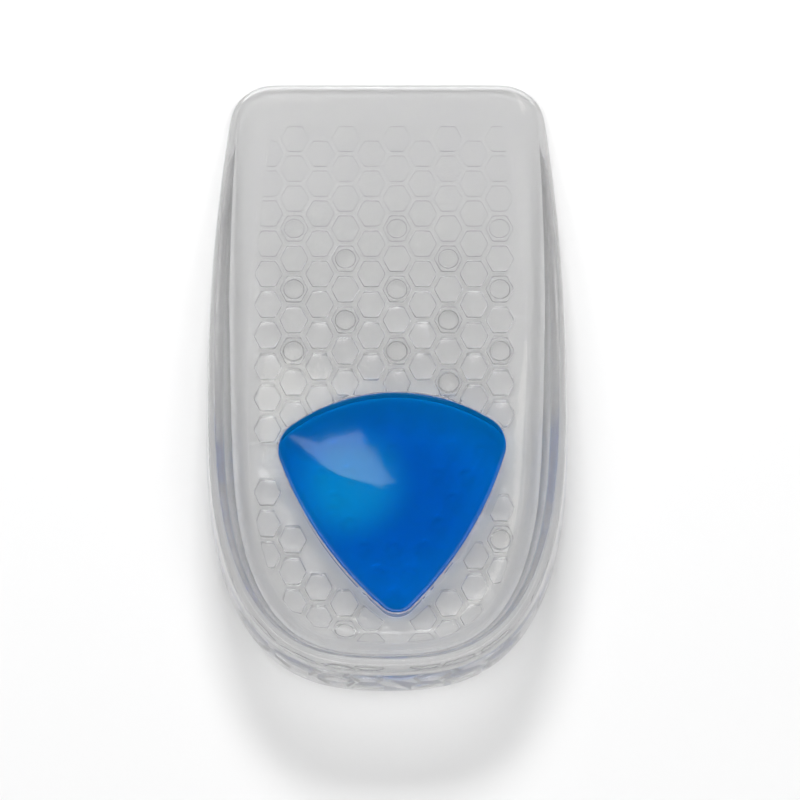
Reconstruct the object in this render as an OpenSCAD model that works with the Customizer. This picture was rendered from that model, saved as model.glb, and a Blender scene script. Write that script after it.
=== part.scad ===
// Clear gel heel cup with a softer blue pad under the heel bone.
// X runs across the foot, +Y points to the toes, +Z is up.
// The origin is on the ground, in the middle of the cup's length and width.

/* [Cup outline] */
// Length from the back of the heel to the thin front edge
cup_len = 114.4; // [96:0.1:138]
// Width at the widest place
cup_w = 65; // [55:0.5:80]
// Distance from the back of the heel to the widest place
heel_reach = 52; // [44:0.5:62]
// Squareness of the heel's curve, where 2 is an ellipse
heel_power = 2.8; // [2.2:0.1:3.4]
// How far each side closes in between the widest place and the front edge
front_taper = 4.8; // [1:0.5:9]
// Radius of the two front corners
corner_r = 8; // [8:0.5:10]

/* [Wall and floor] */
// Height of the rim behind the heel
wall_h = 20; // [15:0.5:26]
// Thickness of the rim at its top
rim_t = 3; // [2.4:0.1:3.8]
// How far the outer face leans in at the top of the rim
wall_lean = 0.8; // [0:0.1:1.5]
// Radius of the lower outer edge
foot_r = 6.4; // [4:0.1:6.4]
// Inset of the floor's edge from the outline, behind the heel
run_heel = 12; // [10:0.5:14]
// Inset of the floor's edge from the outline, at the sides
run_side = 8; // [6.5:0.5:9.5]
// Inset of the floor's edge from the outline, at the front
run_front = 4; // [3.5:0.5:5]
// Thickness of the gel under the heel, tread included
floor_t = 7; // [6:0.5:9]
// Thickness of the gel at the front edge, tread included
front_t = 2; // [1.6:0.1:3]
// Place along the length where the wall starts to come down
wall_fall_y = -24; // [-34:1:-14]
// Steepness of the wall's fall, where 1 is a plain quarter wave
wall_fall_power = 1.25; // [1:0.05:1.6]
// Place along the length where the floor starts to thin
floor_fall_y = 0; // [-1:1:12]

/* [Honeycomb tread] */
// Depth of the tread under the heel
tread_h = 1.8; // [1.4:0.1:2.4]
// Depth of the tread near the front edge
tread_front_h = 0.3; // [0.2:0.1:0.8]
// Distance from the front edge to where the tread reaches that depth
tread_front_len = 19; // [10:1:30]
// Width of the plain border round the tread
border_w = 6.9; // [6.7:0.1:7]
// Distance between neighbouring columns of cells
cell_col = 4.66; // [4:0.02:6]
// Distance between neighbouring cells in one column
cell_row = 5.82; // [5:0.02:7]
// Thickness of a rib between two cells
rib_t = 0.9; // [0.7:0.1:1]
// Diameter of a pip
pip_d = 3.6; // [2.8:0.1:3.6]
// Gap between the ground and the end of a pip
pip_gap = 0.1; // [0.1:0.1:0.5]
// Rounding round the end of a pip
pip_end_r = 0.3; // [0.2:0.1:0.6]

/* [Heel pad] */
// Width of the clear floor left on each side of the pad
pad_side_gap = 4.1; // [3:0.1:8]
// Length from the pad's tip to its front edge
pad_len = 40.5; // [34:0.5:44]
// Distance from the back of the heel to the pad's tip
pad_back = 14.3; // [14:0.1:20]
// Sideways shift of the pad from the middle of the cup
pad_shift = 0.9; // [-1:0.1:1]
// Turn of the pad, which brings its tip to the right, in degrees
pad_turn = 1.8; // [-3:0.1:3]
// Radius of the pad's shoulders
shoulder_r = 5.6; // [4.5:0.1:7]
// Radius of the pad's tip
tip_r = 3.7; // [3:0.1:5]
// Radius of the pad's front edge
pad_front_r = 31.5; // [28:0.5:40]
// Radius of the pad's two long sides
pad_side_r = 66; // [55:1:90]
// Height of the pad's crown above the floor
pad_crown = 1.2; // [0.4:0.1:1.6]
// Gap between the ground and the pad's underside
pad_lift = 0.3; // [0.1:0.1:0.6]
// Thickness of the clear band round the pad, in the tread
pad_band = 1.2; // [1:0.1:2]
// Distance between the dents under the pad
dent_pitch = 5.2; // [4.6:0.1:6]
// Diameter of a dent at its mouth
dent_d = 3.2; // [2.6:0.1:3.6]
// Depth of a dent
dent_h = 1.1; // [0.6:0.1:1.4]
// Plain rim left between the dents and the pad's edge
dent_edge = 1.2; // [0.8:0.1:2]
// Radius of the plain middle, which has no dents
core_r = 8.5; // [6:0.5:10]

/* [Hidden] */
$fn = 48;

half_w = cup_w / 2;
back_y = -cup_len / 2;
front_y = cup_len / 2;
wide_y = back_y + heel_reach;
side_bend = front_taper / pow(front_y - wide_y, 2);

// Number of steps round a corner, along a side and round half the heel
CORNER_STEPS = 6;
SIDE_STEPS = 14;
HEEL_STEPS = 16;
// Number of steps along the inner face of the wall and across the floor
FACE_STEPS = 6;
FLOOR_STEPS = 6;
// Number of steps in each arc of the pad, of rings in its crown and of facets round them
ARC_STEPS = 8;
DOME_STEPS = 8;
DOME_FACETS = 96;
// Radius of the crown's dome as a share of the pad's length, so that it covers the shoulders
DOME_SPREAD = 0.65;
// Largest share of a thin edge's height that one rounding takes
ROUND_SHARE = 0.45;
// How far down its slope the inner face of the wall turns towards the floor
FACE_PULL = 0.3;
// A little extra, so that a cut runs clear of what it cuts
SPARE = 1;

function mix(a, b, t) = a + (b - a) * t;
function ease(t) = t * t * (3 - 2 * t);
function clamp01(t) = max(0, min(1, t));
function unit(v) = v / norm(v);

// ---- Plan of the cup ----

// Half the width of the cup at a place along its length
function half_width(y) = y >= wide_y
    ? half_w - side_bend * pow(y - wide_y, 2)
    : half_w * pow(1 - pow(min(1, (wide_y - y) / heel_reach), heel_power), 1 / heel_power);

// The front corner's centre and where its arc starts
corner_y = front_y - corner_r;
corner_a = atan(2 * side_bend * (corner_y - wide_y));
corner_x = half_width(corner_y + corner_r * sin(corner_a)) - corner_r * cos(corner_a);
side_end_y = corner_y + corner_r * sin(corner_a);

// Each station is [place on the outline, outward direction], from the front to the heel
corner_stations = [for (i = [0:CORNER_STEPS - 1])
    let (a = mix(90, corner_a, i / CORNER_STEPS))
    [[corner_x + corner_r * cos(a), corner_y + corner_r * sin(a)], [cos(a), sin(a)]]];
side_stations = [for (i = [0:SIDE_STEPS - 1])
    let (y = mix(side_end_y, wide_y, i / SIDE_STEPS))
    [[half_width(y), y], unit([1, 2 * side_bend * (y - wide_y)])]];
heel_stations = [for (i = [0:HEEL_STEPS])
    let (a = 90 * (1 - i / HEEL_STEPS), u = pow(sin(a), 2 / heel_power), v = pow(cos(a), 2 / heel_power))
    [[half_w * u, wide_y - heel_reach * v],
     unit([pow(u, heel_power - 1) / half_w, -pow(v, heel_power - 1) / heel_reach])]];
right_stations = concat(corner_stations, side_stations, heel_stations);
RIGHT = len(right_stations);
stations = concat(right_stations,
    [for (i = [RIGHT - 2:-1:0])
        let (s = right_stations[i]) [[-s[0][0], s[0][1]], [-s[1][0], s[1][1]]]]);

function inset_outline(d) = [for (s = stations) s[0] - d * s[1]];

// ---- Heights along the cup ----

function floor_z(y) =
    mix(floor_t, front_t, ease(clamp01((y - floor_fall_y) / (front_y - floor_fall_y))));
// Depth of the tread: level under the heel, then falling evenly, then level again near the front
tread_flat_y = front_y - tread_front_len;
function tread_z(y) =
    mix(tread_h, tread_front_h, clamp01((y - floor_fall_y) / (tread_flat_y - floor_fall_y)));
function wall_share(y) =
    pow(sin(90 * clamp01((front_y - y) / (front_y - wall_fall_y))), wall_fall_power);
function rim_z(y) = mix(front_t, wall_h, wall_share(y));

// Inset of the floor's edge at a station
function floor_run(s) = s[0][1] < wide_y
    ? mix(run_side, run_heel, abs(s[1][1]))
    : mix(run_front, run_side, wall_share(s[0][1]));

// Wall section at a station as [inset, height], from the ground up, over the rim and down to the floor
function wall_section(s) =
    let (
        share = wall_share(s[0][1]),
        top = rim_z(s[0][1]),
        foot = min(foot_r, ROUND_SHARE * top),
        width = mix(rim_t / 2, rim_t, share),
        round_h = min(width / 2, ROUND_SHARE * top),
        lean = wall_lean * share,
        run = floor_run(s),
        low = floor_z(s[0][1] - run * s[1][1]),
        inner_top = top - min(round_h, ROUND_SHARE * max(0, top - low)),
        a = [lean + width, inner_top],
        b = [mix(lean + width, run, FACE_PULL), low],
        c = [run, low]
    )
    concat(
        [for (t = [0:18:90]) [foot * (1 - sin(t)), foot * (1 - cos(t))]],
        [[lean / 2, (foot + top - round_h) / 2]],
        [for (t = [0:30:90]) [lean + width / 2 * (1 - cos(t)), top - round_h * (1 - sin(t))]],
        [for (t = [60:-30:30])
            [lean + width / 2 * (1 + cos(t)), top - (top - inner_top) * (1 - sin(t))]],
        [for (i = [0:FACE_STEPS])
            let (t = i / FACE_STEPS) pow(1 - t, 2) * a + 2 * t * (1 - t) * b + t * t * c]
    );

// ---- Body of the cup as one closed skin ----

sections = [for (s = stations) wall_section(s)];
RING = len(stations);
LEVELS = len(sections[0]);

skin_points = [for (k = [0:LEVELS - 1]) for (i = [0:RING - 1])
    let (s = stations[i], p = s[0] - sections[i][k][0] * s[1]) [p[0], p[1], sections[i][k][1]]];
// The floor is laid in rows across, from the row behind the front edge to the heel
floor_points = [for (i = [1:RIGHT - 2]) for (j = [1:FLOOR_STEPS - 1])
    let (r = skin_points[(LEVELS - 1) * RING + i])
    [mix(r[0], -r[0], j / FLOOR_STEPS), r[1], r[2]]];

// Number of a floor point, where column 0 is the right edge and the last column the left edge
function floor_id(i, j) =
    j == 0 ? (LEVELS - 1) * RING + i
    : j == FLOOR_STEPS ? (LEVELS - 1) * RING + RING - 1 - i
    : LEVELS * RING + (i - 1) * (FLOOR_STEPS - 1) + j - 1;

side_faces = [for (k = [0:LEVELS - 2]) for (i = [0:RING - 1])
    let (n = (i + 1) % RING, a = k * RING + i, b = k * RING + n)
    each [[a, a + RING, b + RING], [a, b + RING, b]]];
front_face = [concat([floor_id(0, 0), floor_id(0, FLOOR_STEPS)],
    [for (j = [FLOOR_STEPS:-1:0]) floor_id(1, j)])];
floor_faces = [for (i = [1:RIGHT - 3]) for (j = [0:FLOOR_STEPS - 1])
    each [[floor_id(i, j), floor_id(i, j + 1), floor_id(i + 1, j + 1)],
          [floor_id(i, j), floor_id(i + 1, j + 1), floor_id(i + 1, j)]]];
heel_faces = [for (j = [0:FLOOR_STEPS - 1])
    [floor_id(RIGHT - 2, j), floor_id(RIGHT - 2, j + 1), (LEVELS - 1) * RING + RIGHT - 1]];
ground_face = [[for (i = [0:RING - 1]) i]];

module cup_body() {
    polyhedron(
        points = concat(skin_points, floor_points),
        faces = concat(side_faces, front_face, floor_faces, heel_faces, ground_face),
        convexity = 6
    );
}

// Everything below the top of the tread
module tread_space() {
    rotate([90, 0, 90])
        linear_extrude(height = cup_w + 2 * SPARE, center = true)
            polygon([
                [back_y - SPARE, -SPARE],
                [front_y + SPARE, -SPARE],
                [front_y + SPARE, tread_front_h],
                [tread_flat_y, tread_front_h],
                [floor_fall_y, tread_h],
                [back_y - SPARE, tread_h]
            ]);
}

// ---- Plan of the heel pad: three corner circles joined by wide arcs ----

// Width across the pad's two shoulders
pad_w = cup_w - 2 * run_side - 2 * pad_side_gap;
pad_top_y = back_y + pad_back + pad_len;
pad_side_x = pad_w / 2 - shoulder_r;
pad_drop = pad_front_r - sqrt(pow(pad_front_r - shoulder_r, 2) - pow(pad_side_x, 2));
pad_pivot = [pad_shift, pad_top_y - pad_drop];
right_shoulder = pad_pivot + pad_side_x * [cos(pad_turn), sin(pad_turn)];
left_shoulder = pad_pivot - pad_side_x * [cos(pad_turn), sin(pad_turn)];
pad_tip = pad_pivot + (pad_len - pad_drop - tip_r) * [sin(pad_turn), -cos(pad_turn)];
pad_middle = (right_shoulder + left_shoulder + pad_tip) / 3;

// Centre of an arc of radius r that wraps the circles p and q, which lie clockwise on its outline
function wrap_centre(p, p_r, q, q_r, r) =
    let (
        gap = norm(q - p),
        along = (pow(r - p_r, 2) - pow(r - q_r, 2) + gap * gap) / (2 * gap),
        across = sqrt(pow(r - p_r, 2) - along * along),
        dir = (q - p) / gap
    )
    p + along * dir + across * [dir[1], -dir[0]];

front_centre = wrap_centre(left_shoulder, shoulder_r, right_shoulder, shoulder_r, pad_front_r);
right_centre = wrap_centre(right_shoulder, shoulder_r, pad_tip, tip_r, pad_side_r);
left_centre = wrap_centre(pad_tip, tip_r, left_shoulder, shoulder_r, pad_side_r);

function heading(from, to) = atan2(to[1] - from[1], to[0] - from[0]);
// Points of a clockwise arc, its last point left out
function arc_points(centre, r, from, to) =
    let (sweep = (from - to + 720) % 360)
    [for (i = [0:ARC_STEPS - 1])
        let (a = from - sweep * i / ARC_STEPS) centre + r * [cos(a), sin(a)]];

front_left_a = heading(front_centre, left_shoulder);
front_right_a = heading(front_centre, right_shoulder);
right_top_a = heading(right_centre, right_shoulder);
right_tip_a = heading(right_centre, pad_tip);
left_tip_a = heading(left_centre, pad_tip);
left_top_a = heading(left_centre, left_shoulder);

// Outline of the pad, grown outwards by g
function pad_outline(g) = concat(
    arc_points(front_centre, pad_front_r + g, front_left_a, front_right_a),
    arc_points(right_shoulder, shoulder_r + g, front_right_a, right_top_a),
    arc_points(right_centre, pad_side_r + g, right_top_a, right_tip_a),
    arc_points(pad_tip, tip_r + g, right_tip_a, left_tip_a),
    arc_points(left_centre, pad_side_r + g, left_tip_a, left_top_a),
    arc_points(left_shoulder, shoulder_r + g, left_top_a, front_left_a)
);

module pad_prism(g, low, high) {
    translate([0, 0, low])
        linear_extrude(height = high - low)
            polygon(pad_outline(g));
}

// ---- Honeycomb ----

// True where a place lies at least r inside the tread's field
function in_field(p, r) =
    let (d = border_w + r, back = max(0, (wide_y - p[1]) / (heel_reach - d)))
    p[1] < front_y - d && abs(p[0]) < half_width(max(p[1], wide_y)) - d
    && pow(abs(p[0]) / (half_w - d), heel_power) + pow(back, heel_power) < 1;
// True where a place is outside the pad's outline, grown outwards by g
function outside_pad(p, g) =
    norm(p - front_centre) > pad_front_r + g
    || norm(p - right_centre) > pad_side_r + g
    || norm(p - left_centre) > pad_side_r + g;
// True where a circle of radius r stands in the tread's field and off the pad's clear band
function stands(p, r) = in_field(p, r) && outside_pad(p, pad_band + r);

COLUMNS = ceil(half_w / cell_col) + 1;
ROWS = ceil(cup_len / cell_row);
// The middle column of cells stands in line with the pad's tip, and a rib with the pad's front edge
function cell_centre(c, r) =
    [pad_tip[0] + c * cell_col, pad_top_y + (r + (c % 2 == 0 ? 0.5 : 0)) * cell_row];
cells = [for (c = [-COLUMNS:COLUMNS]) for (r = [-ROWS:ROWS])
    let (p = cell_centre(c, r)) if (stands(p, rib_t)) p];
// A pip stands in every second cell of every second column, where the tread is deep enough for it
pips = [for (c = [-COLUMNS:COLUMNS]) for (r = [-ROWS:ROWS])
    let (
        p = cell_centre(c, r),
        on = c % 2 == 0 && (c / 2 + r + 1) % 2 == 0,
        deep = tread_z(p[1] + pip_d / 2) > pip_gap + pip_end_r
    )
    if (on && deep && stands(p, cell_row / 2)) p];

// One cell: a six-sided hole, stretched to the rows and columns it stands in
module cell_plan() {
    tall = (cell_row - rib_t) / 2;
    wide = cell_col / 3 - rib_t / sqrt(12);
    polygon([[2 * wide, 0], [wide, tall], [-wide, tall],
             [-2 * wide, 0], [-wide, -tall], [wide, -tall]]);
}

// The tread's field, its outer edge moved in by rim and the pad's hole grown by band
module tread_field(rim, band) {
    difference() {
        polygon(inset_outline(border_w + rim));
        polygon(pad_outline(band));
    }
}

module honeycomb_plan() {
    difference() {
        tread_field(0, 0);
        intersection() {
            union() {
                for (p = cells)
                    translate(p) cell_plan();
            }
            tread_field(rib_t, pad_band);
        }
    }
}

// ---- The four pieces ----

module cup_shell() {
    color([0.88, 0.90, 0.92, 0.45])
        difference() {
            cup_body();
            intersection() {
                tread_space();
                translate([0, 0, -SPARE])
                    linear_extrude(height = tread_h + 2 * SPARE)
                        polygon(inset_outline(border_w));
            }
            pad_prism(0, -SPARE, wall_h);
        }
}

// The space under the pad's crown: a shallow dome, a little wider than the pad
module crown_space() {
    dome_r = pad_len * DOME_SPREAD;
    rise = pad_crown * pow(dome_r / (pad_len / 2), 2);
    arch = [for (i = [0:DOME_STEPS]) let (t = i / DOME_STEPS)
        [dome_r * t, floor_t + pad_crown - rise * t * t]];
    translate([pad_middle[0], pad_middle[1], 0])
        rotate_extrude($fn = DOME_FACETS)
            polygon(concat([[0, 0]], arch, [[dome_r, 0]]));
}

module heel_pad() {
    dent_r = (pow(dent_d / 2, 2) + pow(dent_h, 2)) / (2 * dent_h);
    span = ceil(pad_len / dent_pitch);
    color([0.02, 0.36, 0.72])
        difference() {
            intersection() {
                pad_prism(0, pad_lift, floor_t + pad_crown);
                crown_space();
            }
            for (i = [-span:span])
                for (j = [-span:span]) {
                    p = pad_middle + dent_pitch * [i + j / 2, j * sqrt(3) / 2];
                    outside = outside_pad(p, -dent_edge - dent_d / 2);
                    if (!outside && norm(p - pad_middle) > core_r)
                        translate([p[0], p[1], pad_lift + dent_h - dent_r])
                            sphere(r = dent_r);
                }
        }
}

module honeycomb_tread() {
    color([0.80, 0.83, 0.86, 0.6])
        intersection() {
            linear_extrude(height = tread_h + SPARE)
                honeycomb_plan();
            tread_space();
        }
}

module grip_pips() {
    color([0.72, 0.76, 0.80, 0.6])
        intersection() {
            union() {
                for (p = pips)
                    translate([p[0], p[1], pip_gap])
                        rotate_extrude()
                            pip_profile();
            }
            tread_space();
        }
}

// Half the section of a pip: a straight stud with a rounded end
module pip_profile() {
    union() {
        translate([0, pip_end_r])
            square([pip_d / 2, tread_h + SPARE]);
        square([pip_d / 2 - pip_end_r, tread_h]);
        translate([pip_d / 2 - pip_end_r, pip_end_r])
            circle(r = pip_end_r);
    }
}

cup_shell();
heel_pad();
honeycomb_tread();
grip_pips();
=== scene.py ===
"""Looks of a clear gel heel cup with a softer blue pad under the heel bone.

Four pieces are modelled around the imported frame: the clear cup, the honeycomb tread and the grip pips
under its floor, and the blue pad. Every size is in metres, +Y points to the toes and +Z is up.
"""

import logging
import math
from dataclasses import dataclass, field
from enum import Enum
from typing import Any, Callable, Iterable

import bmesh
import bpy
from mathutils import Matrix, Vector

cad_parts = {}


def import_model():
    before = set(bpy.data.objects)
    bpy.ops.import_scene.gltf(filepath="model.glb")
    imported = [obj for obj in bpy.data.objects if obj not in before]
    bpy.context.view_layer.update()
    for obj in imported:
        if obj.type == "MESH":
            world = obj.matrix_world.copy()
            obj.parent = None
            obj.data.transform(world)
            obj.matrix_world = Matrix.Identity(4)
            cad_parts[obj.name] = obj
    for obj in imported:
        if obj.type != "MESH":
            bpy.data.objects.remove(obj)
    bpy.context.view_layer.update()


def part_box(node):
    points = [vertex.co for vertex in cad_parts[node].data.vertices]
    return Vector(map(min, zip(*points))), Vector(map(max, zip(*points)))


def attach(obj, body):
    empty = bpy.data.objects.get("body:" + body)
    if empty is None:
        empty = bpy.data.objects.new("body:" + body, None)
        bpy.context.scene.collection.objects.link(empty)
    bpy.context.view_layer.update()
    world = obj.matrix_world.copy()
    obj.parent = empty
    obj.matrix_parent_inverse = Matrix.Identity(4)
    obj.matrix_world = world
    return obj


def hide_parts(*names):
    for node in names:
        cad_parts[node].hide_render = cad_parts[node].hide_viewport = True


LOG = logging.getLogger("heel_cup")
MM = 0.001
BODY = "root"
Ring = list[Vector]
# Largest share of a thin edge's height that one rounding takes
ROUND_SHARE = 0.45
# How far down its slope the inner face of the wall turns towards the floor
FACE_PULL = 0.3
# Vertices this close are taken to be level
LEVEL = 0.01 * MM
# Points this close are welded into one
WELD = 0.001 * MM
# How far a cutting shape reaches past what it cuts
OVERCUT = 5 * MM
# Turns at which a rounding has its points
ARC_TURNS = tuple(math.radians(a) for a in (0, 30, 60, 90))
# A face looks up or down when its normal rises or falls by more than this
LEVEL_FACE = 0.5
# A face is upright when its normal rises or falls by less than this
UPRIGHT_FACE = 0.3
# What the blue gel takes out of the light that passes through it
BLUE_DEPTH = {"Color": (0.05, 0.62, 0.97, 1.0), "Density": 120.0}


class Slot(Enum):
    """The record's material slots."""

    CLEAR_GEL = "clear_gel"
    BLUE_GEL = "blue_gel"


class Node(Enum):
    """The frame's nodes that the pieces stand for."""

    SHELL = "cup_shell"
    TREAD = "honeycomb_tread"
    PIPS = "grip_pips"
    PAD = "heel_pad"


def mix(a: float, b: float, t: float) -> float:
    """Goes from a to b as t goes from 0 to 1."""
    return a + (b - a) * t


def clamp01(t: float) -> float:
    """Keeps t between 0 and 1."""
    return max(0.0, min(1.0, t))


def ease(t: float) -> float:
    """Smooth step from 0 to 1, level at both ends."""
    return t * t * (3 - 2 * t)


def every_face(_face: bpy.types.MeshPolygon) -> bool:
    """Picks every face."""
    return True


def looks_up(face: bpy.types.MeshPolygon) -> bool:
    """Picks a face that looks straight up."""
    return face.normal.z > LEVEL_FACE


def off_ground(face: bpy.types.MeshPolygon) -> bool:
    """Picks a face that doesn't look down."""
    return face.normal.z > -LEVEL_FACE


def beneath(height: float) -> Callable[[bpy.types.MeshPolygon], bool]:
    """Gives the test that picks the faces below a height.

    Args:
        height: The height in metres.

    Returns:
        The test of one face.
    """
    def lies_beneath(face: bpy.types.MeshPolygon) -> bool:
        """Picks a face that lies below the height."""
        return face.center.z < height

    return lies_beneath


def upright(low: float, high: float) -> Callable[[bpy.types.MeshPolygon], bool]:
    """Gives the test that picks the upright faces between two heights.

    Args:
        low: The lower height in metres.
        high: The upper height in metres.

    Returns:
        The test of one face.
    """
    def stands_between(face: bpy.types.MeshPolygon) -> bool:
        """Picks an upright face between the two heights."""
        return abs(face.normal.z) < UPRIGHT_FACE and low < face.center.z < high

    return stands_between


# ---------------------------------------------------------------- sizes of the cup


@dataclass(frozen=True)
class Station:
    """A place on the cup's outline and the direction that faces outwards there."""

    place: Vector
    out: Vector

    def inset(self, depth: float) -> Vector:
        """The point that lies depth inside the outline."""
        return self.place - depth * self.out


@dataclass(frozen=True)
class CupPlan:
    """The cup seen from above: straight front edge, round corners, bowed sides, square-shouldered heel."""

    half_w: float
    back_y: float
    front_y: float
    heel_reach: float = 52 * MM
    heel_power: float = 2.8
    front_taper: float = 4.8 * MM
    corner_r: float = 8 * MM
    front_steps: int = 4
    corner_steps: int = 6
    side_steps: int = 14
    heel_steps: int = 16

    @property
    def wide_y(self) -> float:
        """Where the cup is widest."""
        return self.back_y + self.heel_reach

    @property
    def side_bend(self) -> float:
        """How fast the sides close in towards the front."""
        return self.front_taper / (self.front_y - self.wide_y) ** 2

    def half_width(self, y: float) -> float:
        """Half the cup's width at a place along its length.

        Args:
            y: The place along the cup.

        Returns:
            Half the width.
        """
        if y >= self.wide_y:
            return self.half_w - self.side_bend * (y - self.wide_y) ** 2
        back = min(1.0, (self.wide_y - y) / self.heel_reach)
        return self.half_w * (1 - back**self.heel_power) ** (1 / self.heel_power)

    def _corner(self) -> list[Station]:
        """Stations round the right front corner, from the front edge to the side.

        Returns:
            The stations in order.
        """
        centre_y = self.front_y - self.corner_r
        low = math.atan(2 * self.side_bend * (centre_y - self.wide_y))
        touch_y = centre_y + self.corner_r * math.sin(low)
        centre = Vector((self.half_width(touch_y) - self.corner_r * math.cos(low), centre_y))
        edge = [
            Station(Vector((centre.x * i / self.front_steps, self.front_y)), Vector((0.0, 1.0)))
            for i in range(self.front_steps)
        ]
        for i in range(self.corner_steps):
            angle = mix(math.pi / 2, low, i / self.corner_steps)
            out = Vector((math.cos(angle), math.sin(angle)))
            edge.append(Station(centre + self.corner_r * out, out))
        for i in range(self.side_steps):
            y = mix(touch_y, self.wide_y, i / self.side_steps)
            out = Vector((1.0, 2 * self.side_bend * (y - self.wide_y))).normalized()
            edge.append(Station(Vector((self.half_width(y), y)), out))
        return edge

    def _heel(self) -> list[Station]:
        """Stations from the widest place round to the middle of the heel.

        Returns:
            The stations in order.
        """
        power = self.heel_power
        found = []
        for i in range(self.heel_steps + 1):
            turn = math.pi / 2 * i / self.heel_steps
            across, back = math.cos(turn), math.sin(turn)
            reach = ((across / self.half_w) ** power + (back / self.heel_reach) ** power) ** (-1 / power)
            u, v = reach * across / self.half_w, reach * back / self.heel_reach
            out = Vector((u ** (power - 1) / self.half_w, -(v ** (power - 1)) / self.heel_reach))
            found.append(Station(Vector((reach * across, self.wide_y - reach * back)), out.normalized()))
        return found

    def stations(self) -> list[Station]:
        """The whole outline, from the middle of the front edge, down the right side and up the left.

        Returns:
            The stations in order.
        """
        right = self._corner() + self._heel()
        flip = Vector((-1.0, 1.0))
        left = [Station(s.place * flip, s.out * flip) for s in reversed(right[1:-1])]
        return right + left

    def inside(self, x: float, y: float, depth: float) -> bool:
        """Whether a place lies at least depth inside the outline.

        Args:
            x: The place across the cup.
            y: The place along the cup.
            depth: How far inside it has to lie.

        Returns:
            True when it does.
        """
        back = max(0.0, (self.wide_y - y) / (self.heel_reach - depth))
        side = abs(x) / (self.half_w - depth)
        return (
            y < self.front_y - depth
            and abs(x) < self.half_width(max(y, self.wide_y)) - depth
            and side**self.heel_power + back**self.heel_power < 1
        )


@dataclass(frozen=True)
class WallShape:
    """Heights along the cup, and the section of its wall at any station."""

    plan: CupPlan
    wall_h: float
    rim_t: float = 3 * MM
    lean: float = 0.8 * MM
    foot_r: float = 6.4 * MM
    run_heel: float = 12 * MM
    run_side: float = 8 * MM
    run_front: float = 4 * MM
    floor_t: float = 7 * MM
    front_t: float = 2 * MM
    wall_fall_y: float = -24 * MM
    floor_fall_y: float = 0.0
    fall_power: float = 1.25
    face_steps: int = 6

    def floor_z(self, y: float) -> float:
        """Height of the floor at a place along the cup."""
        share = clamp01((y - self.floor_fall_y) / (self.plan.front_y - self.floor_fall_y))
        return mix(self.floor_t, self.front_t, ease(share))

    def wall_share(self, y: float) -> float:
        """How much of the full wall stands at a place along the cup."""
        share = clamp01((self.plan.front_y - y) / (self.plan.front_y - self.wall_fall_y))
        return math.sin(math.pi / 2 * share) ** self.fall_power

    def section(self, station: Station) -> list[tuple[float, float]]:
        """The wall's section, from the ground up, over the rim and down to the floor.

        Args:
            station: The place on the outline where the wall is cut.

        Returns:
            Points as (inset from the outline, height).
        """
        y, out_y = station.place.y, station.out.y
        share = self.wall_share(y)
        top = mix(self.front_t, self.wall_h, share)
        foot = min(self.foot_r, ROUND_SHARE * top)
        width = mix(self.rim_t / 2, self.rim_t, share)
        round_h = min(width / 2, ROUND_SHARE * top)
        lean = self.lean * share
        if y < self.plan.wide_y:
            run = mix(self.run_side, self.run_heel, abs(out_y))
        else:
            run = mix(self.run_front, self.run_side, share)
        low = self.floor_z(y - run * out_y)
        inner = top - min(round_h, ROUND_SHARE * max(0.0, top - low))
        points = [(foot * (1 - math.sin(t)), foot * (1 - math.cos(t))) for t in ARC_TURNS]
        points.append((lean / 2, (foot + top - round_h) / 2))
        points += [
            (lean + width / 2 * (1 - math.cos(t)), top - round_h * (1 - math.sin(t)))
            for t in ARC_TURNS
        ]
        points += [
            (lean + width / 2 * (1 + math.cos(t)), top - (top - inner) * (1 - math.sin(t)))
            for t in reversed(ARC_TURNS[1:3])
        ]
        for i in range(self.face_steps + 1):
            t = i / self.face_steps
            ends = (1 - t) ** 2, 2 * t * (1 - t), t * t
            insets = (lean + width, mix(lean + width, run, FACE_PULL), run)
            depth = sum(e * d for e, d in zip(ends, insets))
            points.append((depth, ends[0] * inner + (ends[1] + ends[2]) * low))
        return points


@dataclass(frozen=True)
class Corner:
    """One rounded corner of the pad."""

    centre: Vector
    radius: float


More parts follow.
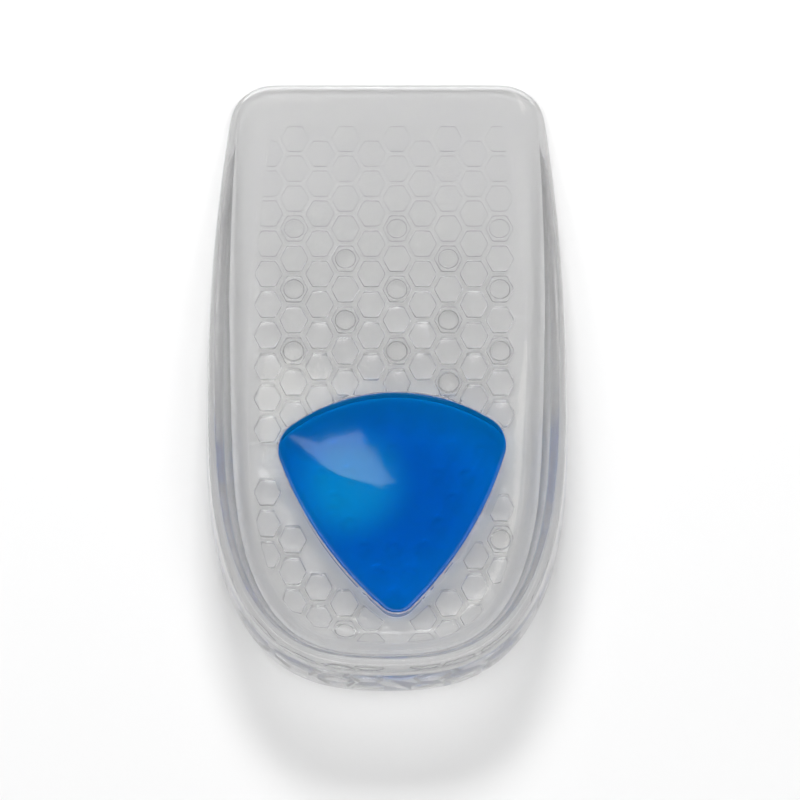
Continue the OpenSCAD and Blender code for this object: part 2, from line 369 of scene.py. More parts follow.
@dataclass(frozen=True)
class PadPlan:
    """The pad seen from above: two shoulders and a tip, joined by wide arcs."""

    left: Corner
    right: Corner
    tip: Corner
    front_r: float
    side_r: float

    @staticmethod
    def fitted(low: Vector, high: Vector, turn: float = math.radians(1.8)) -> "PadPlan":
        """The plan that fills the box of the frame's pad.

        Args:
            low: The pad's lowest corner.
            high: The pad's highest corner.
            turn: How far the pad is turned, which brings its tip to the right.

        Returns:
            The pad's plan.
        """
        shoulder_r, tip_r, front_r, side_r = 5.6 * MM, 3.7 * MM, 31.5 * MM, 66 * MM
        reach = (high.x - low.x) / 2 - shoulder_r
        drop = front_r - math.sqrt((front_r - shoulder_r) ** 2 - reach**2)
        pivot = Vector(((low.x + high.x) / 2, high.y - drop))
        across, down = Vector((math.cos(turn), math.sin(turn))), Vector((math.sin(turn), -math.cos(turn)))
        return PadPlan(
            left=Corner(pivot - reach * across, shoulder_r),
            right=Corner(pivot + reach * across, shoulder_r),
            tip=Corner(pivot + (high.y - drop - low.y - tip_r) * down, tip_r),
            front_r=front_r,
            side_r=side_r,
        )

    @property
    def middle(self) -> Vector:
        """The pad's middle."""
        return (self.left.centre + self.right.centre + self.tip.centre) / 3

    def _wrap(self, first: Corner, second: Corner, radius: float) -> Vector:
        """Centre of the wide arc that wraps two corners, which lie clockwise on the outline.

        Args:
            first: The corner the arc starts at.
            second: The corner it ends at.
            radius: The arc's radius.

        Returns:
            The arc's centre.
        """
        gap = second.centre - first.centre
        near, far = radius - first.radius, radius - second.radius
        along = (near**2 - far**2 + gap.length_squared) / (2 * gap.length)
        across = math.sqrt(near**2 - along**2)
        way = gap.normalized()
        return first.centre + along * way + across * Vector((way.y, -way.x))

    def arcs(self) -> list[tuple[Vector, float, Vector, Vector]]:
        """The three wide arcs and the three corners, clockwise from the front.

        Returns:
            Each arc as (centre, radius, direction it starts in, direction it ends in).
        """
        chain = [(self.left, self.right, self.front_r), (self.right, self.tip, self.side_r),
                 (self.tip, self.left, self.side_r)]
        wide = [(self._wrap(a, b, r), r, a, b) for a, b, r in chain]
        found = []
        for i, (centre, radius, first, second) in enumerate(wide):
            start, end = (first.centre - centre).normalized(), (second.centre - centre).normalized()
            found.append((centre, radius, start, end))
            turn = (second.centre - wide[(i + 1) % 3][0]).normalized()
            found.append((second.centre, second.radius, end, turn))
        return found

    def outline(self, grow: float, steps: int = 12) -> list[Vector]:
        """The outline grown outwards.

        Args:
            grow: How far every point moves outwards.
            steps: How many points each arc has.

        Returns:
            Points of the outline, clockwise.
        """
        points = []
        for centre, radius, start, end in self.arcs():
            first = math.atan2(start.y, start.x)
            sweep = (first - math.atan2(end.y, end.x)) % (2 * math.pi)
            for i in range(steps):
                angle = first - sweep * i / steps
                points.append(centre + (radius + grow) * Vector((math.cos(angle), math.sin(angle))))
        return points

    def outside(self, x: float, y: float, grow: float) -> bool:
        """Whether a place lies outside the outline grown by that much."""
        place = Vector((x, y))
        return any((place - c).length > r + grow for c, r, _, _ in self.arcs()[::2])


@dataclass(frozen=True)
class TreadShape:
    """Sizes of the honeycomb under the floor, and where its cells and pips stand."""

    plan: CupPlan
    pad: PadPlan
    depth: float
    pad_top_y: float
    front_depth: float = 0.3 * MM
    front_len: float = 19 * MM
    fall_y: float = 0.0
    border_w: float = 6.9 * MM
    cell_col: float = 4.66 * MM
    cell_row: float = 5.82 * MM
    rib_t: float = 0.9 * MM
    pad_band: float = 1.2 * MM
    roof_t: float = 0.3 * MM
    pip_d: float = 3.6 * MM
    pip_gap: float = 0.1 * MM
    pip_end_r: float = 0.3 * MM
    stub_share: float = 0.15

    @property
    def flat_y(self) -> float:
        """Where the tread has reached its depth near the front."""
        return self.plan.front_y - self.front_len

    def depth_at(self, y: float) -> float:
        """Depth of the tread at a place along the cup."""
        return mix(self.depth, self.front_depth, clamp01((y - self.fall_y) / (self.flat_y - self.fall_y)))

    def _lattice(self) -> Iterable[tuple[int, int, float, float]]:
        """Every cell of an endless honeycomb, as (column, row, x, y).

        Returns:
            The cells, one after another.
        """
        columns = math.ceil(self.plan.half_w / self.cell_col) + 1
        rows = math.ceil(2 * self.plan.front_y / self.cell_row)
        for c in range(-columns, columns + 1):
            for r in range(-rows, rows + 1):
                lift = 0.5 if c % 2 == 0 else 0.0
                x = self.pad.tip.centre.x + c * self.cell_col
                yield c, r, x, self.pad_top_y + (r + lift) * self.cell_row

    def _stands(self, x: float, y: float, room: float) -> bool:
        """Whether a circle of that radius stands in the tread's field."""
        in_field = self.plan.inside(x, y, self.border_w + room)
        return in_field and self.pad.outside(x, y, self.pad_band + room)

    def _has_pip(self, c: int, r: int, x: float, y: float) -> bool:
        """Whether a cell holds a pip: every second cell of every second column does, if it is deep enough.

        Args:
            c: The cell's column.
            r: The cell's row.
            x: The cell's middle across the cup.
            y: The cell's middle along the cup.

        Returns:
            True when it does.
        """
        return (
            c % 2 == 0
            and (c // 2 + r + 1) % 2 == 0
            and self.depth_at(y + self.pip_d / 2) > self.pip_gap + self.pip_end_r
            and self._stands(x, y, self.cell_row / 2)
        )

    def cells(self, with_pip: bool) -> list[tuple[float, float]]:
        """Middles of the cells that hold a pip, or of those that don't.

        Args:
            with_pip: Whether the cells with a pip are wanted.

        Returns:
            The middles as (x, y).
        """
        return [
            (x, y) for c, r, x, y in self._lattice()
            if self._stands(x, y, self.rib_t) and self._has_pip(c, r, x, y) == with_pip
        ]

    def drop(self, x: float, y: float, base: float = 0.0) -> Callable[[Vector], Vector]:
        """Gives the move that takes a model to a cell and fits it to the tread's depth there.

        Args:
            x: The cell's middle across the cup.
            y: The cell's middle along the cup.
            base: The height below which the model keeps its shape.

        Returns:
            The move of one point.
        """
        def move(p: Vector) -> Vector:
            """Moves one point."""
            share = (self.depth_at(y + p.y) - base) / (self.depth - base)
            return Vector((x + p.x, y + p.y, base + (p.z - base) * share if p.z > base else p.z))

        return move

    def block(self, name: str, inset: float, lift: float, below: float) -> bpy.types.Object:
        """A block that fills the tread's field: level under the heel, sloping, then level at the front.

        Args:
            name: The new object's name.
            inset: How far the block stays inside the field's edge.
            lift: How far its top stands above the tread's.
            below: How far it reaches below the ground.

        Returns:
            The block.
        """
        outline = [s.inset(self.border_w + inset) for s in self.plan.stations()]
        step = self.front_depth + lift
        base = Bench.column(name, outline, -below, step)
        wedge = Bench.column("wedge", outline, step, 2 * self.depth)
        fall = Vector((0.0, self.flat_y - self.fall_y, self.front_depth - self.depth))
        Bench.trim(wedge, Vector((0.0, 0.0, self.depth + lift)), Vector((0.0, 0.0, 1.0)))
        start, slope = Vector((0.0, self.fall_y, self.depth + lift)), Vector((0.0, -fall.z, fall.y))
        Bench.trim(wedge, start, slope.normalized())
        Bench.modify(base, "BOOLEAN", operation="UNION", solver="EXACT", object=wedge)
        bpy.data.objects.remove(wedge)
        return base


# ---------------------------------------------------------------- modelling by hand


class Bench:
    """The steps of modelling by hand, each on one object."""

    @staticmethod
    def take(obj: bpy.types.Object) -> None:
        """Selects only this object and makes it the active one.

        Args:
            obj: The object to select.
        """
        bpy.ops.object.select_all(action="DESELECT")
        obj.select_set(True)
        bpy.context.view_layer.objects.active = obj

    @staticmethod
    def ring(name: str, points: Ring) -> bpy.types.Object:
        """Adds a circle and brings its vertices to their places, each numbered in its own order.

        Args:
            name: The new object's name.
            points: Where the ring's vertices go.

        Returns:
            The new object, in object mode.
        """
        bpy.ops.object.select_all(action="DESELECT")
        bpy.ops.mesh.primitive_circle_add(vertices=len(points), radius=1.0, fill_type="NOTHING")
        obj = bpy.context.object
        obj.name = name
        number = obj.data.attributes.new("station", "INT", "POINT")
        for i, point in enumerate(points):
            obj.data.vertices[i].co = point
            number.data[i].value = i
        return obj

    @staticmethod
    def loft(name: str, rings: list[Ring], close: bool = True) -> bpy.types.Object:
        """Raises a skin from a ring by extruding its open edge again and again.

        Args:
            name: The new object's name.
            rings: Where each ring of vertices goes, the first at the bottom.
            close: Whether the last ring is filled with a face; otherwise its points have to meet in pairs.

        Returns:
            The closed skin, its faces turned outwards.
        """
        obj = Bench.ring(name, rings[0])
        Bench.take(obj)
        bpy.ops.object.mode_set(mode="EDIT")
        bpy.ops.mesh.select_mode(type="EDGE")
        bpy.ops.mesh.select_all(action="SELECT")
        bpy.ops.mesh.edge_face_add()
        for points in rings[1:]:
            bpy.ops.mesh.extrude_edges_move()
            mesh = bmesh.from_edit_mesh(obj.data)
            number = mesh.verts.layers.int["station"]
            for vertex in mesh.verts:
                if vertex.select:
                    vertex.co = points[vertex[number]]
            bmesh.update_edit_mesh(obj.data)
        if close:
            bpy.ops.mesh.edge_face_add()
        bpy.ops.mesh.select_all(action="SELECT")
        bpy.ops.mesh.remove_doubles(threshold=WELD)
        bpy.ops.mesh.normals_make_consistent(inside=False)
        bpy.ops.object.mode_set(mode="OBJECT")
        return obj

    @staticmethod
    def column(name: str, outline: list[Vector], low: float, high: float) -> bpy.types.Object:
        """Raises an outline straight up from one height to another.

        Args:
            name: The new object's name.
            outline: The outline seen from above.
            low: The height of its bottom.
            high: The height of its top.

        Returns:
            The closed column.
        """
        return Bench.loft(name, [[Vector((*p, z)) for p in outline] for z in (low, high)])

    @staticmethod
    def modify(obj: bpy.types.Object, kind: str, **settings: Any) -> None:
        """Adds a modifier, sets it and applies it.

        Args:
            obj: The object to change.
            kind: The modifier's type.
            settings: Its settings by name.
        """
        Bench.take(obj)
        modifier = obj.modifiers.new(kind.title(), kind)
        for key, value in settings.items():
            setattr(modifier, key, value)
        bpy.ops.object.modifier_apply(modifier=modifier.name)

    @staticmethod
    def smooth_cage(obj: bpy.types.Object, levels: int) -> None:
        """Subdivides a cage into a smooth skin."""
        Bench.modify(obj, "SUBSURF", levels=levels, render_levels=levels)

    @staticmethod
    def cut(obj: bpy.types.Object, tool: bpy.types.Object, keep: bool = False) -> None:
        """Cuts a tool's shape out of an object, whose new faces take the tool's material.

        Args:
            obj: The object to cut.
            tool: The shape to cut with, which is thrown away afterwards.
            keep: Whether what lies inside the tool is kept instead of what lies outside.
        """
        operation = "INTERSECT" if keep else "DIFFERENCE"
        Bench.modify(
            obj, "BOOLEAN", operation=operation, solver="EXACT", object=tool, material_mode="TRANSFER"
        )
        bpy.data.objects.remove(tool)

    @staticmethod
    def paint(obj: bpy.types.Object, main: bpy.types.Material, second: bpy.types.Material | None = None,
              where: Callable[[bpy.types.MeshPolygon], bool] = every_face) -> bpy.types.Object:
        """Gives an object its material, and a second one to the faces that a test picks.

        Args:
            obj: The object to paint.
            main: The material of most faces.
            second: The material of the faces that are picked.
            where: The test of a face.

        Returns:
            The same object.
        """
        obj.data.materials.clear()
        obj.data.materials.append(main)
        if second:
            obj.data.materials.append(second)
            for face in obj.data.polygons:
                face.material_index = 1 if where(face) else 0
        return obj

    @staticmethod
    def trim(obj: bpy.types.Object, point: Vector, normal: Vector) -> None:
        """Cuts away what lies beyond a plane and closes the cut.

        Args:
            obj: The object to cut.
            point: A point of the plane.
            normal: The direction beyond which everything goes.
        """
        Bench.take(obj)
        bpy.ops.object.mode_set(mode="EDIT")
        bpy.ops.mesh.select_all(action="SELECT")
        bpy.ops.mesh.bisect(plane_co=point, plane_no=normal, use_fill=True, clear_outer=True)
        bpy.ops.object.mode_set(mode="OBJECT")

    @staticmethod
    def copies(obj: bpy.types.Object, moves: list[Callable[[Vector], Vector]]) -> bpy.types.Object:
        """Copies one model many times, each with its own mesh, and joins the copies.

        Args:
            obj: The model, which is thrown away afterwards.
            moves: For each copy, where a point of the model goes.

        Returns:
            One object that holds all the copies.
        """
        made = []
        for move in moves:
            copy = obj.copy()
            copy.data = obj.data.copy()
            bpy.context.scene.collection.objects.link(copy)
            for vertex in copy.data.vertices:
                vertex.co = move(vertex.co)
            made.append(copy)
        name = obj.name
        bpy.data.objects.remove(obj)
        bpy.ops.object.select_all(action="DESELECT")
        for copy in made:
            copy.select_set(True)
        bpy.context.view_layer.objects.active = made[0]
        bpy.ops.object.join()
        made[0].name = name
        return made[0]

    @staticmethod
    def shade(obj: bpy.types.Object, sharp: float = 40.0) -> None:
        """Shades a piece smooth, but for its edges sharper than that many degrees."""
        Bench.take(obj)
        bpy.ops.object.shade_smooth_by_angle(angle=math.radians(sharp))


# ---------------------------------------------------------------- materials


class Signal:
    """A socket's value, on which sums are written as Python expressions."""

    def __init__(self, graph: "Graph", socket: bpy.types.NodeSocket) -> None:
        """Wraps an output socket of a graph."""
        self.graph = graph
        self.socket = socket

    def _math(self, operation: str, first: Any, second: Any) -> "Signal":
        """Adds a Math node."""
        return self.graph.add("ShaderNodeMath", {"operation": operation}, {0: first, 1: second})

    def __add__(self, other: Any) -> "Signal":
        """Sum."""
        return self._math("ADD", self, other)

    def __radd__(self, other: Any) -> "Signal":
        """Sum, from the right."""
        return self._math("ADD", other, self)

    def __sub__(self, other: Any) -> "Signal":
        """Difference."""
        return self._math("SUBTRACT", self, other)

    def __rsub__(self, other: Any) -> "Signal":
        """Difference, from the right."""
        return self._math("SUBTRACT", other, self)

    def __mul__(self, other: Any) -> "Signal":
        """Product."""
        return self._math("MULTIPLY", self, other)

    def __rmul__(self, other: Any) -> "Signal":
        """Product, from the right."""
        return self._math("MULTIPLY", other, self)


class Graph:
    """The nodes of one material, or of the sky."""

    def __init__(self, owner: bpy.types.Material | bpy.types.World) -> None:
        """Starts with no nodes.

        Args:
            owner: What the nodes belong to.
        """
        owner.use_nodes = True
        self.owner = owner
        self.tree = owner.node_tree
        self.tree.nodes.clear()

    @staticmethod
    def named(name: str) -> "Graph":
        """Starts an empty material of that name."""
        return Graph(bpy.data.materials.new(name))

    def add(self, kind: str, settings: dict[str, Any] | None = None,
            inputs: dict[Any, Any] | None = None, output: Any = 0) -> Signal:
        """Adds a node.

        Args:
            kind: The node's type.
            settings: Its own settings, which are set first; ramp holds a colour ramp's stops.
            inputs: Values or signals for its sockets, by name or number.
            output: Which of its outputs is handed back.

        Returns:
            The chosen output.
        """
        node = self.tree.nodes.new(kind)
        for key, value in (settings or {}).items():
            if key == "ramp":
                for stop, (place, shade) in zip(node.color_ramp.elements, value):
                    stop.position, stop.color = place, (shade, shade, shade, 1.0)
            else:
                setattr(node, key, value)
        for key, value in (inputs or {}).items():
            if isinstance(value, Signal):
                self.tree.links.new(value.socket, node.inputs[key])
            else:
                node.inputs[key].default_value = value
        return Signal(self, node.outputs[output])

    def place(self) -> Signal:
        """The point's own place on the piece, in metres."""
        return self.add("ShaderNodeTexCoord", output="Object")

    def height(self) -> Signal:
        """The point's height above the ground, in metres."""
        return self.add("ShaderNodeSeparateXYZ", None, {"Vector": self.place()}, "Z")

    def distance(self, spot: Vector) -> Signal:
        """The point's distance from a spot on the piece, in metres.

        Args:
            spot: The spot.

        Returns:
            The distance.
        """
        return self.add(
            "ShaderNodeVectorMath", {"operation": "DISTANCE"}, {0: self.place(), 1: spot}, "Value"
        )

    def ranged(self, value: Signal, low: float, high: float) -> Signal:
        """Stretches the stretch of a signal between low and high to 0 and 1, smoothly."""
        inputs = {"Value": value, "From Min": low, "From Max": high}
        return self.add("ShaderNodeMapRange", {"interpolation_type": "SMOOTHSTEP"}, inputs)

    def clamped(self, value: Signal) -> Signal:
        """Keeps a signal between 0 and 1."""
        return self.add("ShaderNodeClamp", None, {"Value": value})

    def noise(self, size: float, detail: float = 2.0, rough: float = 0.5) -> Signal:
        """Cloudy noise whose blotches are about that size, in metres."""
        inputs = {"Vector": self.place(), "Scale": 1 / size, "Detail": detail, "Roughness": rough}
        return self.add("ShaderNodeTexNoise", {"noise_dimensions": "3D"}, inputs, "Fac")

    def blend(self, share: Signal, low: Signal | tuple[float, ...], high: tuple[float, ...]) -> Signal:
        """Blends two colours, of which the first may be a signal."""
        start = low if isinstance(low, Signal) else (*low, 1.0)
        return self.add("ShaderNodeMix", {"data_type": "RGBA"}, {0: share, 6: start, 7: (*high, 1.0)}, 2)

    def ramp(self, share: Signal, low: float, high: float) -> Signal:
        """Stretches the stretch of a signal between low and high to 0 and 1."""
        return self.add("ShaderNodeValToRGB", {"ramp": ((low, 0.0), (high, 1.0))}, {0: share})

    def bump(self, height: Signal, depth: float, strength: float) -> Signal:
        """Turns a height from 0 to 1 into a surface that deep, in metres."""
        inputs = {"Height": height, "Distance": depth, "Strength": strength}
        return self.add("ShaderNodeBump", None, inputs, "Normal")

    def finish(self, surface: dict[str, Any], volume: dict[str, Any] | None = None) -> bpy.types.Material:
        """Adds the surface shader and the volume and joins them to the output.

        Args:
            surface: Values or signals for the Principled shader's sockets.
            volume: Values for the absorption's sockets, if the stuff is clear.

        Returns:
            The finished material.
        """
        inputs = {"Surface": self.add("ShaderNodeBsdfPrincipled", None, surface, "BSDF")}
        if volume:
            inputs["Volume"] = self.add("ShaderNodeVolumeAbsorption", None, volume, "Volume")
        self.output("ShaderNodeOutputMaterial", inputs)
        return self.owner

    def output(self, kind: str, inputs: dict[str, Signal]) -> None:
        """Adds an output node and joins signals to it.

        Args:
            kind: The node's type.
            inputs: Signals for its sockets, by name.
        """
        node = self.tree.nodes.new(kind)
        for key, value in inputs.items():
            self.tree.links.new(value.socket, node.inputs[key])


@dataclass(frozen=True)
class ClearGel:
    """Clear silicone: glossy on top, hazier under the floor, with soft waves from the mould."""

    name: str = "clear_silicone"
    tint_low: tuple[float, float, float] = (0.885, 0.885, 0.887)
    tint_high: tuple[float, float, float] = (0.925, 0.925, 0.927)
    clarity: float = 0.80
    gloss: float = 0.05
    smudge: float = 0.05
    under_haze: float = 0.10
    under_z: float = 4 * MM
    ior: float = 1.41
    wave: float = 9 * MM
    ripple: float = 1.6 * MM
    wave_depth: float = 0.05 * MM
    ripple_depth: float = 0.014 * MM
    cloud_size: float = 14 * MM
    smudge_size: float = 6 * MM
    smudge_band: tuple[float, float] = (0.45, 0.75)

    def material(self) -> bpy.types.Material:
        """Builds the material.

        Returns:
            The new material.
        """
        g = Graph.named(self.name)
        cloud = g.noise(self.cloud_size, detail=3.0)
        smudges = g.ramp(g.noise(self.smudge_size, detail=4.0, rough=0.6), *self.smudge_band)
        under = 1 - g.clamped(g.height() * (1 / self.under_z))
        height = g.noise(self.wave, 1.0) * self.wave_depth + g.noise(self.ripple, 2.0) * self.ripple_depth
        surface = {
            "Base Color": g.blend(cloud, self.tint_low, self.tint_high),
            "Roughness": self.gloss + smudges * self.smudge + under * self.under_haze,
            "IOR": self.ior,
            "Transmission Weight": self.clarity,
            "Normal": g.bump(height, 1.0, 1.0),
        }
        return g.finish(surface)


@dataclass(frozen=True)
class GelBond:
    """The seam where two pours of gel have set as one, of which nothing is seen."""

    name: str = "bonded_gel"

    def material(self) -> bpy.types.Material:
        """Builds the material.

        Returns:
            The new material.
        """
        return Graph.named(self.name).finish({"Base Color": (1.0, 1.0, 1.0, 1.0), "Alpha": 0.0, "IOR": 1.0})


@dataclass(frozen=True)
class BlueGel:
    """Softer blue silicone: deep and glossy, lighter towards its edge, with one painted highlight: a paler
    patch that stands in for the light round the window lamp's reflection.
    """

    middle: Vector
    name: str = "blue_silicone"
    deep: tuple[float, float, float] = (0.0, 0.33, 0.80)
    light: tuple[float, float, float] = (0.0, 0.46, 0.90)
    # Painted highlight: the paler blue of one patch beside the pad's middle, and that patch's shift from
    # the middle and its radii
    pale: tuple[float, float, float] = (0.01, 0.74, 0.97)
    painted_highlight_shift: tuple[float, float, float] = (-7.5 * MM, 2 * MM, 0.0)
    painted_highlight_r: float = 12.5 * MM
    painted_highlight_core: float = 0.35
    core_r: float = 7 * MM
    edge_r: float = 20 * MM
    edge_share: float = 0.8
    cloud_share: float = 0.6
    cloud_drop: float = 0.2
    cloud_size: float = 9 * MM
    wave: float = 7 * MM
    ripple: float = 1.2 * MM
    wave_depth: float = 0.03 * MM
    ripple_depth: float = 0.004 * MM
    smudge_size: float = 5 * MM
    smudge_band: tuple[float, float] = (0.45, 0.8)
    clarity: float = 0.85
    gloss: float = 0.05
    smudge: float = 0.04
    under_haze: float = 0.12
    under_z: float = 4 * MM
    ior: float = 1.41

    def material(self) -> bpy.types.Material:
        """Builds the material.

        Returns:
            The new material.
        """
        g = Graph.named(self.name)
        ring = g.ranged(g.distance(self.middle), self.core_r, self.edge_r)
        lighter = ring * self.edge_share
        cloud = g.clamped(lighter + g.noise(self.cloud_size) * self.cloud_share - self.cloud_drop)
        height = g.noise(self.wave, 1.0) * self.wave_depth + g.noise(self.ripple, 2.0) * self.ripple_depth
        under = 1 - g.clamped(g.height() * (1 / self.under_z))
        smudges = g.ramp(g.noise(self.smudge_size, detail=3.0), *self.smudge_band)
        # Painted highlight: the blue turns paler round a spot beside the middle, standing in for light
        # round the window lamp's reflection
        glow = self.middle + Vector(self.painted_highlight_shift)
        pale = 1 - g.ranged(g.distance(glow), self.painted_highlight_core * self.painted_highlight_r, self.painted_highlight_r)
        surface = {
            "Base Color": g.blend(pale, g.blend(cloud, self.deep, self.light), self.pale),
            "Roughness": self.gloss + smudges * self.smudge + under * self.under_haze,
            "IOR": self.ior,
            "Transmission Weight": self.clarity,
            "Normal": g.bump(height, 1.0, 1.0),
        }
        return g.finish(surface, BLUE_DEPTH)


@dataclass(frozen=True)
class BlueSeam:
    """The side of the blue pad, where it is set into clear gel and bends no light."""

    name: str = "blue_seam"
    tint: tuple[float, float, float] = (0.0, 0.36, 0.74)
    light: tuple[float, float, float] = (0.0, 0.44, 0.80)
    clarity: float = 0.85
    gloss: float = 0.02
    cloud_size: float = 8 * MM

    def material(self) -> bpy.types.Material:
        """Builds the material.

        Returns:
            The new material.
        """
        g = Graph.named(self.name)
        surface = {
            "Base Color": g.blend(g.noise(self.cloud_size), self.tint, self.light),
            "Roughness": self.gloss,
            "IOR": 1.0,
            "Transmission Weight": self.clarity,
        }
        return g.finish(surface, BLUE_DEPTH)


@dataclass
class Finishes:
    """Every material, made once."""

    blue: bpy.types.Material
    clear: bpy.types.Material = field(default_factory=ClearGel().material)
    bond: bpy.types.Material = field(default_factory=GelBond().material)
    seam: bpy.types.Material = field(default_factory=BlueSeam().material)


# ---------------------------------------------------------------- the pieces


@dataclass
class Piece:
    """One piece of the heel cup, and how it is fixed to the frame."""

    name: str
    stands_for: Node
    slot: Slot
    finishes: Finishes

    def fit(self, body: bpy.types.Object, sharp: float = 40.0) -> bpy.types.Object:
        """Names and shades the modelled body, and ties it to the frame.

        Args:
            body: The finished mesh object.
            sharp: Edges sharper than that many degrees stay sharp.

        Returns:
            The same object.
        """
        Bench.shade(body, sharp)
        body.name = self.name
        body.data.name = self.name
        for extra in [a for a in body.data.attributes if a.name == "station"]:
            body.data.attributes.remove(extra)
        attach(body, BODY)
        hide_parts(self.stands_for.value)
        LOG.info("%s: %d faces", self.name, len(body.data.polygons))
        return body


@dataclass
class GelCup(Piece):
    """The clear cup: floor, raised wall and rounded rim, open under the floor for the tread and the pad."""

    wall: WallShape
    tread: TreadShape
    pad: PadPlan
    levels: int = 2
    lip_r: float = 0.35 * MM
    lip_spread: float = 1.4
    floor_rings: tuple[float, ...] = (0.25, 0.5, 0.75, 1.0)
    spine_front: float = 25 * MM
    spine_back: float = 30 * MM

    def _cage(self) -> bpy.types.Object:
        """The coarse cage of the cup, ring by ring, with the floor zipped shut along its middle.

        Returns:
            The cage.
        """
        plan = self.wall.plan
        stations = plan.stations()
        sections = [self.wall.section(s) for s in stations]
        rings: list[Ring] = []
        for level in range(len(sections[0])):
            ring = []
            for station, section in zip(stations, sections):
                depth, height = section[level]
                ring.append(Vector((*station.inset(depth), height)))
            rings.append(ring)
        rim = rings[-1]
        for share in self.floor_rings:
            ring = []
            for point in rim:
                y = max(plan.back_y + self.spine_back, min(plan.front_y - self.spine_front, point.y))
                flat = point.xy.lerp(Vector((0.0, y)), share)
                ring.append(Vector((*flat, self.wall.floor_z(flat.y))))
            rings.append(ring)
        return Bench.loft(self.name, rings, close=False)

    def _pad_pocket(self) -> bpy.types.Object:
        """The hole that the pad stands in, bonded to it up to a rounded lip at the floor.

        Returns:
            The shape to cut with.
        """
        floor, lip = self.wall.floor_t, self.lip_r
        levels = [(0.0, -OVERCUT), (0.0, floor - lip)]
        for angle in ARC_TURNS[1:]:
            levels.append((lip * (1 - math.cos(angle)), floor - lip * (1 - math.sin(angle))))
        levels.append((lip * self.lip_spread, floor + OVERCUT))
        rings = [[Vector((*p, z)) for p in self.pad.outline(grow)] for grow, z in levels]
        pocket = Bench.loft("pad_pocket", rings)
        return Bench.paint(pocket, self.finishes.clear, self.finishes.bond, beneath(floor - lip))

    def build(self) -> bpy.types.Object:
        """Models the cup.

        Returns:
            The finished cup.
        """
        cup = self._cage()
        Bench.smooth_cage(cup, self.levels)
        Bench.paint(cup, self.finishes.clear)
        pocket = self.tread.block("tread_pocket", 0.0, self.tread.roof_t, OVERCUT)
        Bench.cut(cup, Bench.paint(pocket, self.finishes.bond))
        Bench.cut(cup, self._pad_pocket())
        return self.fit(cup)


